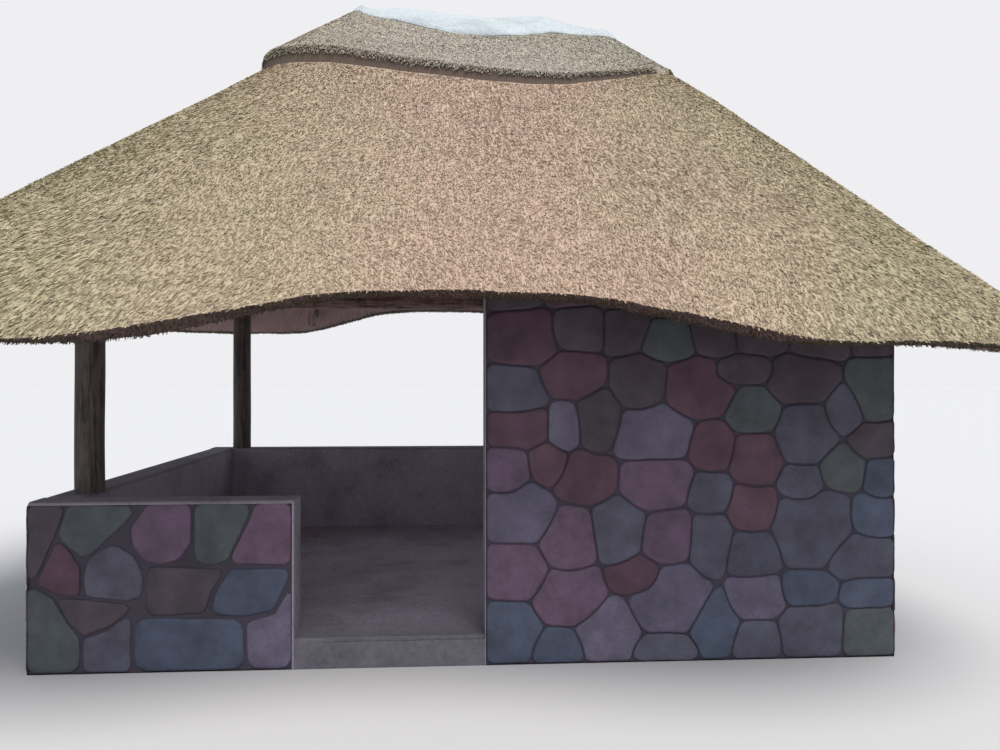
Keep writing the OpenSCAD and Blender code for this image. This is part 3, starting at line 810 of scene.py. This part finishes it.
class HUT_OT_stone_walls(bpy.types.Operator):
    """Walls: a plastered core with a raised border, and domed painted stones in mortar"""

    bl_idname = "hut.stone_walls"
    bl_label = "Stone walls"

    def execute(self, context):
        stone = context.scene.hut_stone
        self.stone_materials = [stone_material(tone, getattr(stone, tone)) for tone in TONES]
        self.core_materials = [
            plaster_material("wall_plaster", stone.plaster),
            plaster_material("joint_mortar", stone.mortar, 80),
            # The inner faces' plaster is the wall plaster made 1.32 times lighter: painted light on faces
            # that lie in shade
            plaster_material("inner_plaster", scaled(stone.plaster, 1.32)),
        ]
        rng = np.random.default_rng(7)
        edge = stone.border
        self.wall("front_parapet", "-Y", LOW_WALL_STONES, (0.0, 0.0, edge, edge), stone)
        self.wall("screen_wall", "-Y", SCREEN_STONES, (0.004, 0.0, 0.0, 0.0), stone)
        for node, face in (("left_parapet", "-X"), ("right_parapet", "+X"), ("back_parapet", "+Y")):
            low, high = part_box(node)
            width = (high.x - low.x) if face[1] == "Y" else (high.y - low.y)
            stones = strewn_stones(rng, width, high.z)
            self.wall(node, face, stones, (0.0, 0.0, 0.0, edge), stone)
        for node, face in STONE_ENDS:
            low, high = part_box(node)
            stones = end_stones(rng, high.y - low.y, high.z)
            margins = (0.0, 0.0, 0.0, 0.0 if node == "screen_wall" else edge)
            name = node + "_end_stones_" + ("left" if face == "-X" else "right")
            self.cladding(node, face, stones, margins, stone, name)
        return {"FINISHED"}

    def wall(self, node, face, stones, margins, stone):
        """One wall. Margins are the plaster at the left, the foot, the right and the top of its face."""
        right, out, start, area = self.face_area(node, face, margins)
        self.core(node, right, out, start, area, stone)
        self.cladding(node, face, stones, margins, stone, node + "_stones")

    def cladding(self, node, face, stones, margins, stone, name):
        """The stones of one face of a wall."""
        right, out, start, area = self.face_area(node, face, margins)
        if stones is LOW_WALL_STONES:
            outlines = cut_outlines(stones, area, stone.joint)
            tones = [entry[0] for entry in stones]
        else:
            outlines = fitted_outlines(stones, area, stone.joint, stone.lean)
            tones = [entry[4] for entry in stones]
        mesh = self.stone_mesh(name, outlines, tones, right, out, start, stone)
        add_piece(name, mesh)

    def face_area(self, node, face, margins):
        """The axes of a wall's face and the part of it that holds stones."""
        low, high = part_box(node)
        right, out, start = self.face_axes(face, low, high)
        width = abs((high - low).dot(right))
        return right, out, start, ((margins[0], margins[1]), (width - margins[2], high.z - margins[3]))

    @staticmethod
    def face_axes(face, low, high):
        """The way right along a face, the way out of it, and its lower left corner."""
        if face == "-Y":
            return Vector((1, 0, 0)), Vector((0, -1, 0)), Vector((low.x, low.y, 0))
        if face == "+Y":
            return Vector((-1, 0, 0)), Vector((0, 1, 0)), Vector((high.x, high.y, 0))
        if face == "-X":
            return Vector((0, -1, 0)), Vector((-1, 0, 0)), Vector((low.x, high.y, 0))
        return Vector((0, 1, 0)), Vector((1, 0, 0)), Vector((high.x, low.y, 0))

    def core(self, node, right, out, start, area, stone):
        """The CAD wall with its stone face sunk to the joints."""
        shape = welded(node)
        (left, _), (far, high) = area
        cuts = (
            (start + right * left, right),
            (start + right * far, right),
            (Vector((0, 0, high)), Vector((0, 0, 1))),
        )
        for point, normal in cuts:
            geometry = shape.verts[:] + shape.edges[:] + shape.faces[:]
            bmesh.ops.bisect_plane(shape, geom=geometry, plane_co=point, plane_no=normal)
        sunk = []
        for face in shape.faces:
            # Faces turned inward take the painted-light plaster
            face.material_index = 2 if face.normal.dot(out) < -ALONG else 0
            offset = face.calc_center_median() - start
            across = offset.dot(right)
            if face.normal.dot(out) > ALONG and left < across < far and offset.z < high:
                sunk.append(face)
        made = bmesh.ops.extrude_face_region(shape, geom=sunk)
        moved = [item for item in made["geom"] if isinstance(item, bmesh.types.BMVert)]
        bmesh.ops.translate(shape, verts=moved, vec=-out * stone.relief)
        bmesh.ops.delete(shape, geom=sunk, context="FACES_ONLY")
        for item in made["geom"]:
            if isinstance(item, bmesh.types.BMFace):
                item.material_index = 1
        self.sink_ends(node, shape, stone.relief)
        mesh = finished_mesh(shape, node, self.core_materials, 32)
        add_piece(node + "_core", mesh, [node])

    def sink_ends(self, node, shape, relief):
        """Draws in the ends of a wall that hold stones, as far as the stones stand out."""
        low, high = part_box(node)
        for name, face in STONE_ENDS:
            if name == node:
                out, end = (-1, low.x) if face == "-X" else (1, high.x)
                for vert in shape.verts:
                    if abs(vert.co.x - end) < 0.001:
                        vert.co.x -= out * relief
                shape.normal_update()
                for item in shape.faces:
                    if item.normal.x * out > ALONG and item.calc_center_median().z < high.z - 0.001:
                        item.material_index = 1

    def stone_mesh(self, name, outlines, tones, right, out, start, stone):
        """Domed stones: each is rings from its foot in the mortar to its worn face."""
        verts, faces, indices = [], [], []
        for number, (outline, tone) in enumerate(zip(outlines, tones)):
            middle = outline.mean(axis=0)
            first = len(verts)
            sides = len(outline)
            for share, level in STONE_RINGS:
                for x, z in middle + (outline - middle) * share:
                    rough = noise.noise(Vector((x * 9, z * 9, number * 3.7)))
                    depth = stone.relief * (level + (0.35 * rough if level > -1 else 0))
                    verts.append(start + right * x + Vector((0, 0, z)) + out * (depth - SET_BACK))
            verts.append(start + right * middle[0] + Vector((0, 0, middle[1])) + out * -SET_BACK)
            for ring in range(len(STONE_RINGS) - 1):
                for k in range(sides):
                    a, b = first + ring * sides + k, first + ring * sides + (k + 1) % sides
                    faces.append((a, b, b + sides, a + sides))
            last = first + (len(STONE_RINGS) - 1) * sides
            faces += [(last + k, last + (k + 1) % sides, len(verts) - 1) for k in range(sides)]
            indices += [TONES.index(tone)] * (len(STONE_RINGS) * sides)
        mesh = bpy.data.meshes.new(name)
        mesh.from_pydata(verts, [], faces)
        for material in self.stone_materials:
            mesh.materials.append(material)
        mesh.polygons.foreach_set("material_index", indices)
        mesh.shade_smooth()
        return mesh


class HUT_OT_floor(bpy.types.Operator):
    """Screed floor with a rounded edge in the entrance"""

    bl_idname = "hut.floor"
    bl_label = "Floor"

    def execute(self, context):
        shape = welded("floor_slab")
        edges = [
            edge for edge in shape.edges
            if all(abs(v.co.z - FLOOR_TOP) < 0.001 and v.co.y < FRONT_LOW.y + 0.002 for v in edge.verts)
        ]
        bmesh.ops.bevel(shape, geom=edges, offset=0.02, segments=4, affect="EDGES")
        # The screed's front edge and nosing are darkened by painted shade
        screed = plaster_material("floor_screed", paint(170, 163, 174), 30, FRONT_LOW.y)
        mesh = finished_mesh(shape, "floor_screed", [screed], 40)
        add_piece("floor_screed", mesh, ["floor_slab"])
        return {"FINISHED"}


class HUT_OT_posts(bpy.types.Operator):
    """Gum-pole posts: not quite straight, swollen in places and cracked"""

    bl_idname = "hut.posts"
    bl_label = "Posts"

    def execute(self, context):
        pole = context.scene.hut_pole
        material = pole_material("gum_bark", pole.bark, pole.split)
        for number, name in enumerate(("front_left", "front_right", "back_left", "back_right")):
            low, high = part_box("post_" + name)
            mesh = self.post_mesh(name, low, high, pole.wander, 11.0 * number)
            mesh.materials.append(material)
            mesh.shade_smooth()
            mesh.set_sharp_from_angle(angle=math.radians(50))
            add_piece("gum_post_" + name, mesh, ["post_" + name])
        return {"FINISHED"}

    @staticmethod
    def post_mesh(name, low, high, wander, seed, sides=28, rows=40):
        """A pole whose ends stay where they are: rings that wander, swell and sink in at cracks."""
        middle = (low + high) / 2
        radius = (high.x - low.x) / 2
        verts, faces = [], []
        for row in range(rows + 1):
            z = low.z + (high.z - low.z) * row / rows
            held = math.sin(math.pi * row / rows)
            x = middle.x + wander * held * noise.noise(Vector((z * 1.3, seed, 0)))
            y = middle.y + wander * held * noise.noise(Vector((z * 1.3, seed, 50)))
            for k in range(sides):
                angle = 2 * math.pi * k / sides
                cos, sin = math.cos(angle), math.sin(angle)
                swell = noise.noise(Vector((cos * 1.4, sin * 1.4, z * 2.5 + seed)))
                crack = noise.noise(Vector((cos * 6, sin * 6, z * 0.9 + seed)))
                r = radius * (0.975 + 0.025 * swell - 0.03 * max(0, crack - 0.2))
                verts.append((x + r * cos, y + r * sin, z))
        for row in range(rows):
            for k in range(sides):
                a, b = row * sides + k, row * sides + (k + 1) % sides
                faces.append((a, b, b + sides, a + sides))
        faces.append(tuple(reversed(range(sides))))
        faces.append(tuple(rows * sides + k for k in range(sides)))
        mesh = bpy.data.meshes.new("gum_post_" + name)
        mesh.from_pydata(verts, [], faces)
        return mesh


class HUT_OT_roof_timber(bpy.types.Operator):
    """Bark on the ring plate, ridge pole, rafters and laths, whose shapes the frame holds"""

    bl_idname = "hut.roof_timber"
    bl_label = "Roof timber"

    def execute(self, context):
        pole = context.scene.hut_pole
        for name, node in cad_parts.items():
            if name.startswith(("plate_", "ridge_pole", "rafters_", "hip_rafter_", "laths_")):
                colour = scaled(pole.roof_pole, 1.3) if name.startswith("laths_") else pole.roof_pole
                material = pole_material("bark_" + name, colour, pole.split, self.grain(name))
                for slot in node.material_slots:
                    slot.material = material
        return {"FINISHED"}

    @staticmethod
    def grain(name):
        """The stretch that lays the cracks along a timber, from where it lies."""
        along_front = name.endswith(("front", "back", "ridge_pole"))
        if name.startswith(("plate_", "laths_", "ridge_pole")):
            return (0.8, 9, 9) if along_front else (9, 0.8, 9)
        return (9, 1.5, 1.5) if along_front else (1.5, 9, 1.5)


class HUT_OT_stage(bpy.types.Operator):
    """Studio floor, soft light and the camera"""

    bl_idname = "hut.stage"
    bl_label = "Stage"

    def execute(self, context):
        stage = context.scene.hut_stage
        self.floor(stage)
        self.world()
        self.sun("soft_key", (-0.24, 0.46, -1.0), energy=3.5, spread=40, colour=(1.0, 0.97, 0.94))
        self.sun("soft_fill", (0.10, 1.0, -0.12), energy=0.9, spread=70, colour=(0.96, 0.94, 1.0))
        self.camera(stage)
        context.scene.view_settings.view_transform = "Standard"
        return {"FINISHED"}

    @staticmethod
    def floor(stage, reach=200):
        """A floor just under the hut, out to reach metres each way."""
        mesh = bpy.data.meshes.new("studio_floor")
        corners = [(-reach, -reach, 0), (reach, -reach, 0), (reach, reach, 0), (-reach, reach, 0)]
        mesh.from_pydata(corners, [], [(0, 1, 2, 3)])
        floor = add_object("studio_floor", mesh)
        floor.location.z = -0.001
        m = Nodes("studio_floor", roughness=0.9)
        m.shader.inputs["Base Color"].default_value = (*stage.ground, 1)
        mesh.materials.append(m.material)

    @staticmethod
    def world():
        """Soft light from all round, and a plain background for the camera."""
        world = bpy.data.worlds.new("studio")
        bpy.context.scene.world = world
        world.use_nodes = True
        tree = world.node_tree
        tree.nodes.clear()
        path = tree.nodes.new("ShaderNodeLightPath")
        mix = tree.nodes.new("ShaderNodeMixShader")
        out = tree.nodes.new("ShaderNodeOutputWorld")
        tree.links.new(path.outputs["Is Camera Ray"], mix.inputs[0])
        sky, background = ((0.80, 0.86, 1.0, 1), 0.85), ((0.863, 0.863, 0.888, 1), 1.0)
        for socket, (colour, strength) in ((1, sky), (2, background)):
            shader = tree.nodes.new("ShaderNodeBackground")
            shader.inputs["Color"].default_value = colour
            shader.inputs["Strength"].default_value = strength
            tree.links.new(shader.outputs[0], mix.inputs[socket])
        tree.links.new(mix.outputs[0], out.inputs[0])

    @staticmethod
    def sun(name, way, energy, spread, colour):
        """A broad soft light from far off, shining the given way."""
        light = bpy.data.lights.new(name, "SUN")
        light.energy = energy
        light.angle = math.radians(spread)
        light.color = colour
        lamp = add_object(name, light)
        lamp.rotation_euler = Vector(way).to_track_quat("-Z", "Y").to_euler()

    @staticmethod
    def camera(stage):
        """The photo's camera, placed from the entrance."""
        camera = bpy.data.cameras.new("camera")
        camera.sensor_width = 36
        camera.lens = stage.lens
        camera.clip_end = 600
        holder = add_object("camera", camera)
        x = FRONT_HIGH.x + stage.from_door
        holder.location = (x, FRONT_LOW.y - stage.distance, stage.eye_height)
        holder.rotation_euler = (math.radians(90) + stage.tilt, 0, -stage.turn)
        bpy.context.scene.camera = holder


OPERATORS = (
    HUT_OT_stage, HUT_OT_floor, HUT_OT_stone_walls, HUT_OT_posts, HUT_OT_roof_timber, HUT_OT_thatch,
    HUT_OT_ridge,
)
GROUPS = {
    "hut_thatch": HutThatchSettings,
    "hut_stone": HutStoneSettings,
    "hut_pole": HutPoleSettings,
    "hut_ridge": HutRidgeSettings,
    "hut_stage": HutStageSettings,
}


class HUT_PT_panel(bpy.types.Panel):
    """Lists the hut's settings and the operators that build it"""

    bl_idname = "HUT_PT_panel"
    bl_label = "Thatched hut"
    bl_space_type = "VIEW_3D"
    bl_region_type = "UI"
    bl_category = "Hut"

    def draw(self, context):
        for operator in OPERATORS:
            self.layout.operator(operator.bl_idname)
        for name in GROUPS:
            group = getattr(context.scene, name)
            box = self.layout.box()
            for key in group.__annotations__:
                box.prop(group, key)


CLASSES = (*GROUPS.values(), *OPERATORS, HUT_PT_panel)


def register():
    for group in CLASSES:
        bpy.utils.register_class(group)
    for name, group in GROUPS.items():
        setattr(bpy.types.Scene, name, bpy.props.PointerProperty(type=group))


def unregister():
    for name in GROUPS:
        delattr(bpy.types.Scene, name)
    for group in reversed(CLASSES):
        bpy.utils.unregister_class(group)


def main():
    register()
    bpy.ops.hut.stage()
    bpy.ops.hut.floor()
    bpy.ops.hut.stone_walls()
    bpy.ops.hut.posts()
    bpy.ops.hut.roof_timber()
    bpy.ops.hut.thatch()
    bpy.ops.hut.ridge()


if __name__ == "__main__":
    main()
